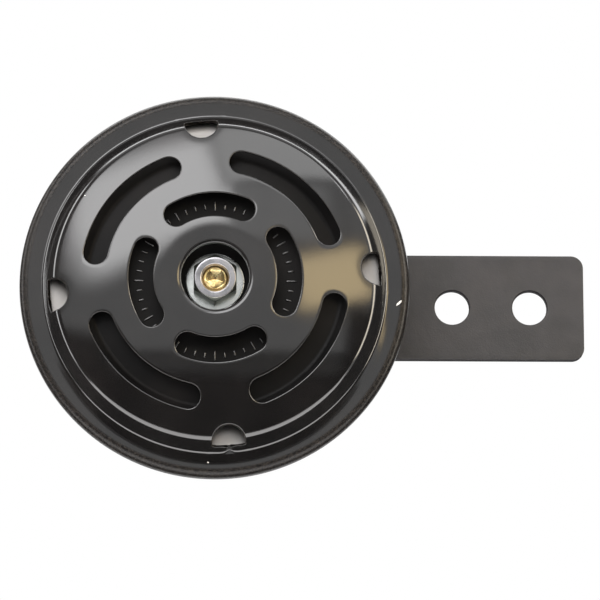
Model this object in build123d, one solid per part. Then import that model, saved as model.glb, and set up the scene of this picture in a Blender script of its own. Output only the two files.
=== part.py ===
from build123d import *
import os

# Electromagnetic disc horn on a flat two-hole bracket. All sizes are in millimetres.
#
# Each piece is drawn about the horn's own axis: local +Z points out of the grille, local +X runs
# along the bracket and local +Y is up. Local Z = 0 is the diaphragm's rear face. to_part_frame()
# turns the finished pieces so that the horn faces -Y with +Z up, and puts the origin at the
# middle of the bracket's two mounting holes, on the bracket's rear face.

# ---- rim: the grille's edge is rolled round the gaskets, the diaphragm and the housing ----
rim_radius = 46.5
rim_fold_radius = 2.0        # outer radius of the fold at the front
crimp_fold_radius = 1.4      # outer radius of the fold at the back
crimp_lip_width = 2.9        # how far the rolled lip reaches in behind the housing
rim_clearance = 0.2          # between the clamped pieces and the inside of the fold
gasket_thickness = 0.8
gasket_width = 3.0
diaphragm_thickness = 0.4
bead_place = 21.0            # the diaphragm's raised bead
bead_width = 6.0
bead_rise = 0.8

# ---- front grille ----
grille_sheet = 0.9
flange_width = 5.6           # from the foot of the step to the rim
step_run = 2.8               # how far the step leans in
step_rise = 3.5              # from the flange up to the shoulder
dome_rise = 5.9              # from the shoulder up to the crest
grille_bore_radius = 8.0
lip_width = 1.6              # the lip round the bore is turned in at 45 degrees
crest_bend_radius = 1.4
shoulder_bend_radius = 2.5
foot_bend_radius = 0.9
slot_width = 5.8
slot_count = 4
outer_slot_inset = 9.1       # from the shoulder in to the middle of the outer slots
outer_slot_sweep = 55.0      # degrees, between the centres of a slot's round ends
outer_slot_angle = 50.0
inner_slot_inset = 9.6       # from the bore's edge out to the middle of the inner slots
inner_slot_sweep = 53.5
inner_slot_angle = 5.0
rim_hole_radius = 3.95
rim_hole_inset = 2.0         # from the foot of the step in to the middle of a rim hole
rim_hole_sill = 0.9          # the step is left whole this far up from the flange
rim_hole_angle = 5.0

# ---- rear housing ----
housing_sheet = 1.2
housing_depth = 22.4         # from the diaphragm to the inside of the floor
mouth_inset = 6.3            # from the rim in to the wall under the flange
ledge_depth = 8.1            # from the diaphragm to the ledge
ledge_width = 7.0
wall_draft = 0.8             # how far each wall leans in over its height
cup_draft = 2.9
housing_bend_radius = 2.0

# ---- moving system: armature, tone disc and what clamps them ----
armature_radius = 6.9
armature_length = 10.6       # behind the diaphragm
armature_flange_radius = 10.0
armature_flange_thickness = 1.6
magnet_gap = 1.0             # between the armature and the pole core at rest
stud_radius = 3.0            # M6
stud_chamfer = 0.4
stud_recess = 1.2            # how far the stud's end lies below the nut's face
stud_dimple_radius = 2.3
stud_dimple_depth = 0.9
spacer_radius = 7.0
spacer_thickness = 1.6
tone_disc_inset = 5.9        # from the grille's shoulder in to the disc's edge bend
tone_disc_sheet = 1.2
tone_disc_hub_radius = 9.5
tone_disc_ring_rise = 2.1    # the raised ring stands this far over the hub
tone_disc_ring_inner = 12.6
tone_disc_ring_outer = 22.0
tone_disc_skirt_drop = 1.0   # from the ring back to the gutter
tone_disc_edge_width = 2.0
tone_disc_edge_rise = 1.3    # the disc's edge is turned forward by this much
tone_disc_bend_radius = 1.6
washer_radius = 7.0
washer_thickness = 1.2
nut_width = 10.0             # M6, across the flats
nut_height = 5.0
nut_countersink = 0.7
collar_wall = 2.65           # fibre collar that pushes the breaker's leaf
collar_gap = 0.3             # between the collar and the leaf at rest
thread_clearance = 0.04

# ---- magnet ----
core_radius = 6.9
core_chamfer = 0.6
bobbin_clearance = 0.4       # round the armature and the core
bobbin_wall = 1.0
bobbin_flange_gap = 0.43     # to the adjusting bush or the terminals' insulator, whichever is nearer
bobbin_flange_thickness = 1.2
winding_inset = 1.2          # from the bobbin's flange edge in to the winding
winding_crown = 0.8          # the outer layers stop this much short of the flanges
pole_plate_thickness = 1.6
pole_plate_clearance = 0.9   # round the plate, clear of the bend at the ledge
plate_rivet_count = 3
plate_rivet_angle = 60.0
plate_rivet_radius = 1.5
plate_rivet_head = 2.3
plate_rivet_offset = 0.3      # outwards from the middle of the ledge, clear of the bends
rivet_head_height = 1.0
window_radius = 27.5         # windows in the pole plate, for the leads and the air
window_width = 7.0
window_sweep = 52.0

# ---- contact breaker, on the pole plate ----
breaker_angle = 120.0
stack_near = 21.0            # the clamped stack runs from here out to stack_far
stack_far = 31.0
stack_width = 10.0
breaker_rivet_places = (23.5, 28.5)
breaker_rivet_radius = 1.2
breaker_rivet_head = 2.2
breaker_rivet_head_height = 0.8
sleeve_wall = 0.5
sleeve_clearance = 0.05
block_thickness = 1.6        # insulating blocks under and between the leaves
cap_thickness = 0.6          # insulating strip under the rivet heads
moving_leaf_thickness = 0.3
moving_leaf_width = 8.0
leaf_tip_clearance = 0.7     # between the leaf's hollow tip and the armature
leaf_tail = 2.5              # solder tag behind the stack
fixed_arm_thickness = 0.8
fixed_arm_width = 9.0
fixed_arm_tip = 12.8
contact_place = 15.0         # from the horn's axis out to the contacts
contact_radius = 1.5
ear_place = 20.0             # the ear that the adjusting screw bears on
ear_reach = 9.0
ear_width = 5.0

# ---- adjusting screw, in the housing's floor ----
screw_radius = 2.0           # M4
screw_stand_out = 6.4        # beyond the housing's floor
screw_slot_width = 0.8
screw_slot_depth = 1.2
bush_radius = 3.0
bush_flange_radius = 4.0
bush_flange_thickness = 2.0
bush_swage_radius = 3.7
bush_swage_height = 0.7
locknut_width = 7.0
locknut_height = 3.2
screw_passage_clearance = 1.0

# ---- terminals, on the housing's floor ----
terminal_row_place = -22.5   # local Y of the two rivets
terminal_spacing = 11.0
terminal_width = 6.3
terminal_sheet = 0.8
terminal_foot_reach = 4.4    # from the rivet to the bend, and to the foot's other end
terminal_blade_length = 11.0
terminal_blade_lean = 45.0   # degrees from the floor
terminal_hole_radius = 0.9
insulator_thickness = 1.6
outer_insulator_size = (24.0, 10.0)
inner_insulator_size = (19.0, 6.4)
insulator_corner_radius = 2.0
terminal_rivet_radius = 1.5
terminal_rivet_head = 2.8
insulator_bush_radius = 3.0
insulator_clearance = 0.1

# ---- bracket and the fixings on the rear stud ----
bracket_width = 26.0
bracket_thickness = 2.5
bracket_end_margin = 13.25   # from the middle of the outer hole to the free end
bracket_corner_radius = 3.0
bracket_hole_radius = 4.25   # for M8
bracket_hole_reach = 67.75   # from the horn's axis to the middle of the two holes
bracket_hole_spacing = 19.0
rear_stud_radius = 4.0       # M8
rear_stud_clearance = 0.15
rear_stud_end = 1.5          # beyond the nut
rear_nut_width = 13.0
rear_nut_height = 6.5
spring_washer_radius = 7.0
spring_washer_thickness = 2.0
spring_washer_gap = 1.5

# ---- heights and radii that follow from the sizes above ----
clamped_radius = rim_radius - grille_sheet - rim_clearance
foot_radius = rim_radius - flange_width
shoulder_radius = foot_radius - step_run
flange_back = diaphragm_thickness + gasket_thickness
flange_front = flange_back + grille_sheet
shoulder_height = flange_front + step_rise
crest_height = shoulder_height + dome_rise
crest_radius = grille_bore_radius + lip_width
housing_flange_front = -gasket_thickness
housing_flange_back = housing_flange_front - housing_sheet
crimp_back = housing_flange_back - grille_sheet
floor_inside = -housing_depth
floor_outside = floor_inside - housing_sheet
ledge_corner_radius = rim_radius - mouth_inset - wall_draft
cup_radius = ledge_corner_radius - ledge_width
tone_disc_radius = shoulder_radius - tone_disc_inset
ear_distance = (ear_place**2 + ear_reach**2) ** 0.5
terminal_inner_edge = -terminal_row_place - inner_insulator_size[1] / 2
bobbin_flange_radius = min(ear_distance - bush_flange_radius, terminal_inner_edge) - bobbin_flange_gap
bracket_reach = bracket_hole_reach + bracket_hole_spacing / 2 + bracket_end_margin
plate_back = -ledge_depth
plate_front = plate_back + pole_plate_thickness
plate_radius = ledge_corner_radius - pole_plate_clearance
plate_rivet_place = cup_radius + ledge_width / 2 + plate_rivet_offset
disc_back = diaphragm_thickness + spacer_thickness
disc_front = disc_back + tone_disc_sheet
nut_seat = disc_front + washer_thickness
nut_face = nut_seat + nut_height
stud_end = nut_face - stud_recess
core_end = -armature_length - magnet_gap
leaf_back = plate_front + block_thickness
leaf_front = leaf_back + moving_leaf_thickness
arm_back = leaf_front + block_thickness
arm_front = arm_back + fixed_arm_thickness
stack_front = arm_front + cap_thickness
sleeve_radius = breaker_rivet_radius + sleeve_clearance + sleeve_wall
bracket_back = floor_outside - bracket_thickness
rear_nut_seat = bracket_back - spring_washer_thickness
rear_nut_back = rear_nut_seat - rear_nut_height
outer_insulator_back = floor_outside - insulator_thickness
inner_insulator_front = floor_inside + insulator_thickness
terminal_back = outer_insulator_back - terminal_sheet
terminal_places = (-terminal_spacing / 2, terminal_spacing / 2)


def ring(outer, inner, low, high):
    """Flat ring about the horn's axis, from height low to height high."""
    return Pos(0, 0, low) * extrude(Circle(outer) - Circle(inner), high - low)


def cylinder(radius, low, high):
    """Solid round bar along the horn's axis, from height low to height high."""
    return Pos(0, 0, low) * extrude(Circle(radius), high - low)


def turned(*points):
    """Piece turned from bar: the outline, given as (radius, height), spun about the axis."""
    return revolve(Plane.XZ * make_face(Polyline(*points, close=True)), Axis.Z)


def pressed_sheet(edges, bends, thickness, side):
    """Sheet pressed to a round form.

    The edges are the outline of one face as (radius, height), each bend is a corner of it with
    the radius that it is rounded to, and the sheet lies on the given side of that outline.
    """
    outline = Wire(edges)
    for (radius, height), bend_radius in bends:
        corner = outline.vertices().sort_by_distance(Vector(radius, height, 0))[0]
        outline = outline.fillet_2d(bend_radius, [corner])
    section = make_face(offset(outline, amount=thickness, side=side))
    return revolve(Plane.XZ * section, Axis.Z)


def arc_slots(radius, sweep, angle):
    """Face with a ring of round-ended slots, each centred on its angle."""
    slot = SlotArc(CenterArc((0, 0), radius, -sweep / 2, sweep), slot_width)
    turns = [angle + 360 * i / slot_count for i in range(slot_count)]
    return [Rot(0, 0, turn) * slot for turn in turns]


def hex_nut(width, height, bore_radius, countersink=0.0):
    """Nut standing on height 0, with two of its flats facing +X and -X, and chamfered corners."""
    prism = extrude(RegularPolygon(width / 2, 6, major_radius=False, rotation=30), height)
    corner = width / 2 / 0.866
    chamfer = (corner - width / 2) * 0.577
    blank = turned(
        (0, 0), (width / 2, 0), (corner, chamfer), (corner, height - chamfer), (width / 2, height), (0, height)
    )
    nut = (prism & blank) - cylinder(bore_radius, 0, height)
    if countersink:
        mouth = bore_radius + countersink
        nut -= turned((0, height - mouth), (mouth, height), (0, height))
    return nut


def on_breaker(piece):
    """Swing a piece of the contact breaker from local +X to its place on the pole plate."""
    return Rot(0, 0, breaker_angle) * piece


def dome_point(radius):
    """Point of the grille's outer face: a sphere about the horn's axis through crest and shoulder."""
    crest_square = crest_radius**2 + crest_height**2
    shoulder_square = shoulder_radius**2 + shoulder_height**2
    centre = (crest_square - shoulder_square) / 2 / (crest_height - shoulder_height)
    sphere_square = crest_radius**2 + (crest_height - centre) ** 2
    return radius, centre + (sphere_square - radius**2) ** 0.5


# ---------------------------------------------------------------- front and rim
def front_grille():
    lip_edge = (grille_bore_radius, crest_height - lip_width)
    crest = (crest_radius, crest_height)
    shoulder = (shoulder_radius, shoulder_height)
    middle = dome_point((crest_radius + shoulder_radius) / 2)
    foot = (foot_radius, flange_front)
    front_fold = (rim_radius, flange_front)
    back_fold = (rim_radius, crimp_back)
    lip_end = (rim_radius - crimp_lip_width, crimp_back)
    outline = [
        Line(lip_edge, crest),
        ThreePointArc(crest, middle, shoulder),
        Line(shoulder, foot),
        Line(foot, front_fold),
        Line(front_fold, back_fold),
        Line(back_fold, lip_end),
    ]
    bends = [(crest, crest_bend_radius), (shoulder, shoulder_bend_radius), (foot, foot_bend_radius)]
    bends += [(front_fold, rim_fold_radius), (back_fold, crimp_fold_radius)]
    grille = pressed_sheet(outline, bends, grille_sheet, Side.RIGHT)
    openings = arc_slots(shoulder_radius - outer_slot_inset, outer_slot_sweep, outer_slot_angle)
    openings += arc_slots(grille_bore_radius + inner_slot_inset, inner_slot_sweep, inner_slot_angle)
    rim_holes = PolarLocations(foot_radius - rim_hole_inset, slot_count, rim_hole_angle)
    for opening in openings:
        grille -= Pos(0, 0, flange_back - 1) * extrude(opening, crest_height)
    for place in rim_holes:
        grille -= Pos(0, 0, flange_front + rim_hole_sill) * extrude(place * Circle(rim_hole_radius), crest_height)
    return grille


def gasket(low):
    return ring(clamped_radius - rim_fold_radius / 2, clamped_radius - gasket_width - 0.5, low, low + gasket_thickness)


def front_gasket():
    return gasket(diaphragm_thickness)


def rear_gasket():
    return gasket(-gasket_thickness)


def diaphragm():
    """Spring-steel disc, flat but for one raised bead round the hub."""
    top = diaphragm_thickness
    hole_edge = (stud_radius + thread_clearance, top)
    bead_inner = (bead_place - bead_width / 2, top)
    bead_crest = (bead_place, top + bead_rise)
    bead_outer = (bead_place + bead_width / 2, top)
    outline = [
        Line(hole_edge, bead_inner),
        ThreePointArc(bead_inner, bead_crest, bead_outer),
        Line(bead_outer, (clamped_radius, top)),
    ]
    return pressed_sheet(outline, [], diaphragm_thickness, Side.RIGHT)


def rear_housing():
    """Deep-drawn cup: clamped flange, upper wall, ledge for the pole plate, and a lower cup."""
    flange_edge = (clamped_radius, housing_flange_front)
    mouth = (rim_radius - mouth_inset, housing_flange_front)
    ledge_corner = (ledge_corner_radius, -ledge_depth)
    ledge_edge = (cup_radius, -ledge_depth)
    floor_corner = (cup_radius - cup_draft, floor_inside)
    bore = (rear_stud_radius + rear_stud_clearance, floor_inside)
    corners = [flange_edge, mouth, ledge_corner, ledge_edge, floor_corner, bore]
    outline = [Line(a, b) for a, b in zip(corners, corners[1:])]
    inner_bend = housing_bend_radius - housing_sheet
    bends = [(mouth, housing_bend_radius), (ledge_corner, inner_bend)]
    bends += [(ledge_edge, housing_bend_radius), (floor_corner, housing_bend_radius)]
    housing = pressed_sheet(outline, bends, housing_sheet, Side.LEFT)
    outer_edge = housing.edges().filter_by(GeomType.CIRCLE).sort_by(Axis.Z)
    outer_edge = outer_edge.filter_by(lambda edge: abs(edge.radius - clamped_radius) < 0.01)[0]
    housing = chamfer(outer_edge, housing_sheet / 2)
    drill_from = floor_outside - 1
    for x in terminal_places:
        hole = Circle(insulator_bush_radius + insulator_clearance)
        housing -= Pos(x, terminal_row_place, drill_from) * extrude(hole, housing_sheet + 2)
    housing -= on_breaker(Pos(ear_place, ear_reach, drill_from) * extrude(Circle(bush_radius), housing_sheet + 2))
    for place in PolarLocations(plate_rivet_place, plate_rivet_count, plate_rivet_angle):
        housing -= Pos(0, 0, plate_back - housing_sheet - 1) * extrude(
            place * Circle(plate_rivet_radius), housing_sheet + 2
        )
    return housing


# ---------------------------------------------------------------- moving system
def armature():
    """Plunger, clamping flange and M6 stud turned in one piece, with a dimple in the stud's end."""
    shoulder_end = stud_end - stud_chamfer
    body = turned(
        (0, -armature_length),
        (armature_radius, -armature_length),
        (armature_radius, -armature_flange_thickness),
        (armature_flange_radius, -armature_flange_thickness),
        (armature_flange_radius, 0),
        (stud_radius, 0),
        (stud_radius, shoulder_end),
        (stud_radius - stud_chamfer, stud_end),
        (0, stud_end),
    )
    ball_radius = (stud_dimple_radius**2 + stud_dimple_depth**2) / 2 / stud_dimple_depth
    return body - Pos(0, 0, stud_end - stud_dimple_depth + ball_radius) * Sphere(ball_radius)


def pusher_collar():
    """Fibre collar round the plunger: it pushes the breaker's leaf when the armature pulls in."""
    inner = armature_radius + thread_clearance
    return ring(armature_radius + collar_wall, inner, leaf_front + collar_gap, -armature_flange_thickness)


def hub_spacer():
    return ring(spacer_radius, stud_radius + thread_clearance, diaphragm_thickness, disc_back)


def tone_disc():
    """Pressed disc: flat hub, raised ring, a skirt that falls away and an edge turned forward."""
    ring_height = disc_front + tone_disc_ring_rise
    gutter_height = ring_height - tone_disc_skirt_drop
    corners = [
        (stud_radius + thread_clearance, disc_front),
        (tone_disc_hub_radius, disc_front),
        (tone_disc_ring_inner, ring_height),
        (tone_disc_ring_outer, ring_height),
        (tone_disc_radius - tone_disc_edge_width, gutter_height),
        (tone_disc_radius, gutter_height + tone_disc_edge_rise),
    ]
    outline = [Line(a, b) for a, b in zip(corners, corners[1:])]
    bends = [(corner, tone_disc_bend_radius) for corner in corners[1:-1]]
    return pressed_sheet(outline, bends, tone_disc_sheet, Side.RIGHT)


def tone_disc_washer():
    return ring(washer_radius, stud_radius + thread_clearance, disc_front, nut_seat)


def tone_disc_nut():
    return Pos(0, 0, nut_seat) * hex_nut(nut_width, nut_height, stud_radius + thread_clearance, nut_countersink)


# ---------------------------------------------------------------- magnet
def pole_core():
    """Pole core and M8 mounting stud turned in one piece."""
    stud_tip = rear_nut_back - rear_stud_end
    return turned(
        (0, core_end),
        (core_radius - core_chamfer, core_end),
        (core_radius, core_end - core_chamfer),
        (core_radius, floor_inside),
        (rear_stud_radius, floor_inside),
        (rear_stud_radius, stud_tip + 1.0),
        (rear_stud_radius - 1.0, stud_tip),
        (0, stud_tip),
    )


def bobbin_tube_radii():
    inner = max(core_radius, armature_radius) + bobbin_clearance
    return inner, inner + bobbin_wall


def coil_bobbin():
    inner, tube = bobbin_tube_radii()
    low_flange = floor_inside + bobbin_flange_thickness
    high_flange = plate_back - bobbin_flange_thickness
    return turned(
        (inner, floor_inside),
        (bobbin_flange_radius, floor_inside),
        (bobbin_flange_radius, low_flange),
        (tube, low_flange),
        (tube, high_flange),
        (bobbin_flange_radius, high_flange),
        (bobbin_flange_radius, plate_back),
        (inner, plate_back),
    )


def coil_winding():
    tube = bobbin_tube_radii()[1]
    low = floor_inside + bobbin_flange_thickness
    high = plate_back - bobbin_flange_thickness
    outer = bobbin_flange_radius - winding_inset
    return turned(
        (tube, low), (outer - winding_crown, low), (outer, low + winding_crown),
        (outer, high - winding_crown), (outer - winding_crown, high), (tube, high),
    )


def pole_plate():
    """Steel plate on the housing's ledge: it carries the contact breaker and closes the magnet."""
    plate = ring(plate_radius, armature_radius + bobbin_clearance, plate_back, plate_front)
    window = SlotArc(CenterArc((0, 0), window_radius, -window_sweep / 2, window_sweep), window_width)
    cuts = [Rot(0, 0, angle) * window for angle in (0, 270)]
    cuts += [place * Circle(plate_rivet_radius) for place in plate_rivet_locations()]
    cuts += [on_breaker(Pos(x, 0) * Circle(breaker_rivet_radius)) for x in breaker_rivet_places]
    cuts.append(on_breaker(Pos(ear_place, ear_reach) * Circle(screw_radius + screw_passage_clearance)))
    for cut in cuts:
        plate -= Pos(0, 0, plate_back - 1) * extrude(cut, pole_plate_thickness + 2)
    return plate


def plate_rivet_locations():
    return PolarLocations(plate_rivet_place, plate_rivet_count, plate_rivet_angle)


def rivet(shank_radius, head_radius, head_height, low, high):
    """Rivet along Z: flat heads outside the clamped height from low to high."""
    body = cylinder(shank_radius, low - head_height, high + head_height)
    return body + cylinder(head_radius, low - head_height, low) + cylinder(head_radius, high, high + head_height)


def pole_plate_rivets():
    blank = rivet(plate_rivet_radius, plate_rivet_head, rivet_head_height, plate_back - housing_sheet, plate_front)
    return [place * blank for place in plate_rivet_locations()]


# ---------------------------------------------------------------- contact breaker
def stack_block(low, thickness, hole_radius):
    """Insulating block of the breaker's clamped stack."""
    length = stack_far - stack_near
    outline = Pos((stack_near + stack_far) / 2, 0) * Rectangle(length, stack_width)
    for x in breaker_rivet_places:
        outline -= Pos(x, 0) * Circle(hole_radius)
    return on_breaker(Pos(0, 0, low) * extrude(outline, thickness))


def lower_breaker_block():
    return stack_block(plate_front, block_thickness, sleeve_radius + sleeve_clearance)


def middle_breaker_block():
    return stack_block(leaf_front, block_thickness, sleeve_radius + sleeve_clearance)


def breaker_cap_strip():
    return stack_block(arm_front, cap_thickness, sleeve_radius + sleeve_clearance)


def leaf_with_holes(outline, low, thickness):
    for x in breaker_rivet_places:
        outline -= Pos(x, 0) * Circle(sleeve_radius + sleeve_clearance)
    return on_breaker(Pos(0, 0, low) * extrude(outline, thickness))


def moving_contact_leaf():
    """Spring leaf: wide at the stack, narrower towards a hollow tip that clears the armature."""
    half = moving_leaf_width / 2
    tail = stack_far + leaf_tail
    outline = make_face(
        Polyline((0, -half * 0.7), (stack_near, -half), (tail, -half), (tail, half), (stack_near, half),
                 (0, half * 0.7), close=True)
    )
    outline -= Circle(armature_radius + leaf_tip_clearance)
    outline = outline.faces().sort_by(Axis.X)[-1]
    return leaf_with_holes(Sketch() + outline, leaf_back, moving_leaf_thickness)


def fixed_contact_arm():
    """Stiff arm over the leaf, with an ear at its side for the adjusting screw."""
    tail = stack_far + leaf_tail
    outline = Pos((fixed_arm_tip + tail) / 2, 0) * Rectangle(tail - fixed_arm_tip, fixed_arm_width)
    outline += Pos(ear_place - ear_width / 2, 0) * Rectangle(
        ear_width, ear_reach + ear_width / 2, align=(Align.MIN, Align.MIN)
    )
    return leaf_with_holes(outline, arm_back, fixed_arm_thickness)


def contact(low, high):
    return on_breaker(Pos(contact_place, 0, 0) * cylinder(contact_radius, low, high))


def moving_contact():
    return contact(leaf_front, (leaf_front + arm_back) / 2)


def fixed_contact():
    return contact((leaf_front + arm_back) / 2, arm_back)


def breaker_sleeves():
    inner = breaker_rivet_radius + sleeve_clearance
    sleeve = ring(sleeve_radius, inner, plate_front, stack_front)
    return [on_breaker(Pos(x, 0, 0) * sleeve) for x in breaker_rivet_places]


def breaker_rivets():
    blank = rivet(breaker_rivet_radius, breaker_rivet_head, breaker_rivet_head_height, plate_back, stack_front)
    return [on_breaker(Pos(x, 0, 0) * blank) for x in breaker_rivet_places]


# ---------------------------------------------------------------- adjusting screw
def at_ear(piece):
    return on_breaker(Pos(ear_place, ear_reach, 0) * piece)


def adjusting_screw():
    """Headless screw with a driver slot: its point bears on the ear of the fixed arm."""
    end = floor_outside - screw_stand_out
    screw = turned(
        (0, arm_back), (screw_radius / 2, arm_back), (screw_radius, arm_back - screw_radius / 2),
        (screw_radius, end), (0, end),
    )
    slot = Pos(0, 0, end) * Box(3 * screw_radius, screw_slot_width, 2 * screw_slot_depth)
    return at_ear(screw - slot)


def adjusting_bush():
    """Threaded bush, swaged over on the outside of the floor."""
    bore = screw_radius + thread_clearance
    flange_front_height = floor_inside + bush_flange_thickness
    swage_back = floor_outside - bush_swage_height
    bush = turned(
        (bore, flange_front_height), (bush_flange_radius, flange_front_height),
        (bush_flange_radius, floor_inside), (bush_radius, floor_inside),
        (bush_radius, floor_outside), (bush_swage_radius, floor_outside),
        (bush_swage_radius, swage_back), (bore, swage_back),
    )
    return at_ear(bush)


def adjusting_locknut():
    seat = floor_outside - bush_swage_height - locknut_height
    return at_ear(Pos(0, 0, seat) * hex_nut(locknut_width, locknut_height, screw_radius + thread_clearance))


# ---------------------------------------------------------------- terminals
def insulator_plate(size, low):
    outline = Pos(0, terminal_row_place) * RectangleRounded(*size, insulator_corner_radius)
    for x in terminal_places:
        outline -= Pos(x, terminal_row_place) * Circle(terminal_rivet_radius + thread_clearance)
    return Pos(0, 0, low) * extrude(outline, insulator_thickness)


def outer_terminal_insulator():
    return insulator_plate(outer_insulator_size, outer_insulator_back)


def inner_terminal_insulator():
    """Plate inside the floor, with a bush on it round each rivet, through the floor's hole."""
    plate = insulator_plate(inner_insulator_size, floor_inside)
    bush = ring(insulator_bush_radius, terminal_rivet_radius + thread_clearance, floor_outside, floor_inside)
    for x in terminal_places:
        plate += Pos(x, terminal_row_place, 0) * bush
    return plate


def spade_terminal(x):
    """6.3 mm blade: a foot under the rivet, and a blade that leans away from the floor."""
    foot_end = terminal_row_place + terminal_foot_reach
    bend = terminal_row_place - terminal_foot_reach
    tip = Vector(bend, outer_insulator_back) + Vector(-terminal_blade_length, 0).rotate(Axis.Z, terminal_blade_lean)
    edges = [Line((foot_end, outer_insulator_back), (bend, outer_insulator_back))]
    edges.append(Line((bend, outer_insulator_back), tip))
    path = Wire(edges)
    corner = path.vertices().sort_by_distance(Vector(bend, outer_insulator_back, 0))[0]
    section = make_face(offset(path.fillet_2d(0.8, [corner]), amount=terminal_sheet, side=Side.LEFT))
    blade = extrude(Plane.YZ * section, terminal_width / 2, both=True)
    tip_edges = blade.edges().filter_by(lambda edge: edge.length < terminal_sheet * 1.01).sort_by(Axis.Y)[0:2]
    blade = chamfer(tip_edges, 1.0)
    blade -= Pos(0, terminal_row_place, 0) * cylinder(
        terminal_rivet_radius + thread_clearance, terminal_back - 1, outer_insulator_back + 1
    )
    return Pos(x, 0, 0) * blade


def terminal_rivets():
    low = terminal_back
    blank = rivet(terminal_rivet_radius, terminal_rivet_head, rivet_head_height, low, inner_insulator_front)
    return [Pos(x, terminal_row_place, 0) * blank for x in terminal_places]


# ---------------------------------------------------------------- bracket and rear fixings
def mounting_bracket():
    """Flat strip, rounded round the stud, with two holes in line near its free end."""
    half = bracket_width / 2
    strip = Pos(bracket_reach / 2, 0) * Rectangle(bracket_reach, bracket_width)
    strip = fillet(strip.vertices().group_by(Axis.X)[-1], bracket_corner_radius)
    strip += Circle(half)
    strip -= Circle(rear_stud_radius + rear_stud_clearance)
    for side in (-0.5, 0.5):
        strip -= Pos(bracket_hole_reach + side * bracket_hole_spacing, 0) * Circle(bracket_hole_radius)
    return Pos(0, 0, bracket_back) * extrude(strip, bracket_thickness)


def spring_washer():
    washer = ring(spring_washer_radius, rear_stud_radius + rear_stud_clearance, rear_nut_seat, bracket_back)
    cut = Pos(0, spring_washer_radius, bracket_back) * Rot(0, 20, 0)
    return washer - cut * Box(spring_washer_gap, spring_washer_radius * 1.3, 6 * spring_washer_thickness)


def bracket_nut():
    nut = hex_nut(rear_nut_width, rear_nut_height, rear_stud_radius + thread_clearance)
    return Pos(0, 0, rear_nut_back) * nut


def to_part_frame(piece):
    return Pos(-bracket_hole_reach, bracket_back, 0) * Rot(90, 0, 0) * piece


pieces = {
    "front_grille": front_grille(),
    "front_gasket": front_gasket(),
    "diaphragm": diaphragm(),
    "rear_gasket": rear_gasket(),
    "rear_housing": rear_housing(),
    "armature": armature(),
    "pusher_collar": pusher_collar(),
    "hub_spacer": hub_spacer(),
    "tone_disc": tone_disc(),
    "tone_disc_washer": tone_disc_washer(),
    "tone_disc_nut": tone_disc_nut(),
    "pole_core": pole_core(),
    "coil_bobbin": coil_bobbin(),
    "coil_winding": coil_winding(),
    "pole_plate": pole_plate(),
    "pole_plate_rivets": pole_plate_rivets(),
    "lower_breaker_block": lower_breaker_block(),
    "moving_contact_leaf": moving_contact_leaf(),
    "middle_breaker_block": middle_breaker_block(),
    "fixed_contact_arm": fixed_contact_arm(),
    "breaker_cap_strip": breaker_cap_strip(),
    "moving_contact": moving_contact(),
    "fixed_contact": fixed_contact(),
    "breaker_sleeves": breaker_sleeves(),
    "breaker_rivets": breaker_rivets(),
    "adjusting_screw": adjusting_screw(),
    "adjusting_bush": adjusting_bush(),
    "adjusting_locknut": adjusting_locknut(),
    "outer_terminal_insulator": outer_terminal_insulator(),
    "inner_terminal_insulator": inner_terminal_insulator(),
    "left_terminal": spade_terminal(terminal_places[0]),
    "right_terminal": spade_terminal(terminal_places[1]),
    "terminal_rivets": terminal_rivets(),
    "mounting_bracket": mounting_bracket(),
    "spring_washer": spring_washer(),
    "bracket_nut": bracket_nut(),
}

os.makedirs("parts", exist_ok=True)
for name, piece in pieces.items():
    solids = piece if isinstance(piece, list) else [piece]
    placed = [to_part_frame(solid) for solid in solids]
    whole = placed[0] if len(placed) == 1 else Compound(children=placed)
    export_step(whole, f"parts/{name}.step")
    print(f"{name}: {len(whole.solids())} solid(s), {whole.volume:.1f} mm3")
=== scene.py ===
import math

import bmesh
import bpy
import numpy as np
from mathutils import Matrix, Vector


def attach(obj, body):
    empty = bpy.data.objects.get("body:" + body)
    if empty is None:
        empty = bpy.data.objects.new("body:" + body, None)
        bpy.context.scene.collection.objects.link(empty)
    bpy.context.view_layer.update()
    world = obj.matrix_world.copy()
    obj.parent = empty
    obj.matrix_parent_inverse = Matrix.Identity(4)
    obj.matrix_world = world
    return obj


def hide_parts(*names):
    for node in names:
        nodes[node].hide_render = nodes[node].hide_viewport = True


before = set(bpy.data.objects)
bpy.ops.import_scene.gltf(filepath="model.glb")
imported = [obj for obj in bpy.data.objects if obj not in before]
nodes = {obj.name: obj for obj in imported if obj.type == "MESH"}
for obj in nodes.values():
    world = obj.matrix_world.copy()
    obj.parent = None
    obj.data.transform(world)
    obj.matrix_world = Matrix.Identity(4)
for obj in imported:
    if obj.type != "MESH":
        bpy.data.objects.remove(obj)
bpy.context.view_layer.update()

print("stage: packed model loaded,", len(nodes), "nodes")

# ---------- where the horn sits ----------
# Every piece is drawn in millimetres about the horn's own axis: x along the bracket,
# y up, z out of the grille, z = 0 at the diaphragm's rear face.
horn = {
    "axisX": -67.75,  # the axis in the shared frame
    "backY": -26.1,  # the shared frame's y at z = 0
}


def toFrame(points):
    # (x, y, z) of the horn becomes (x + axisX, backY - z, y), in metres
    p = np.asarray(points, float)
    return np.stack([p[..., 0] + horn["axisX"], horn["backY"] - p[..., 2], p[..., 1]], axis=-1) / 1000.0


# ---------- mesh helpers ----------
def linked(name, data):
    # a new object that holds the data, in the scene
    obj = bpy.data.objects.new(name, data)
    bpy.context.scene.collection.objects.link(obj)
    return obj


def circleAngles(count):
    return np.arange(count) * 2 * math.pi / count


def pairs(first, second):
    # two coordinates side by side
    return np.stack(np.broadcast_arrays(first, second), axis=-1)


def fade(value, start, reach):
    # 0 up to the start, then evenly to 1 over the reach; a negative reach runs the other way
    return np.clip((value - start) / reach, 0, 1)


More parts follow.
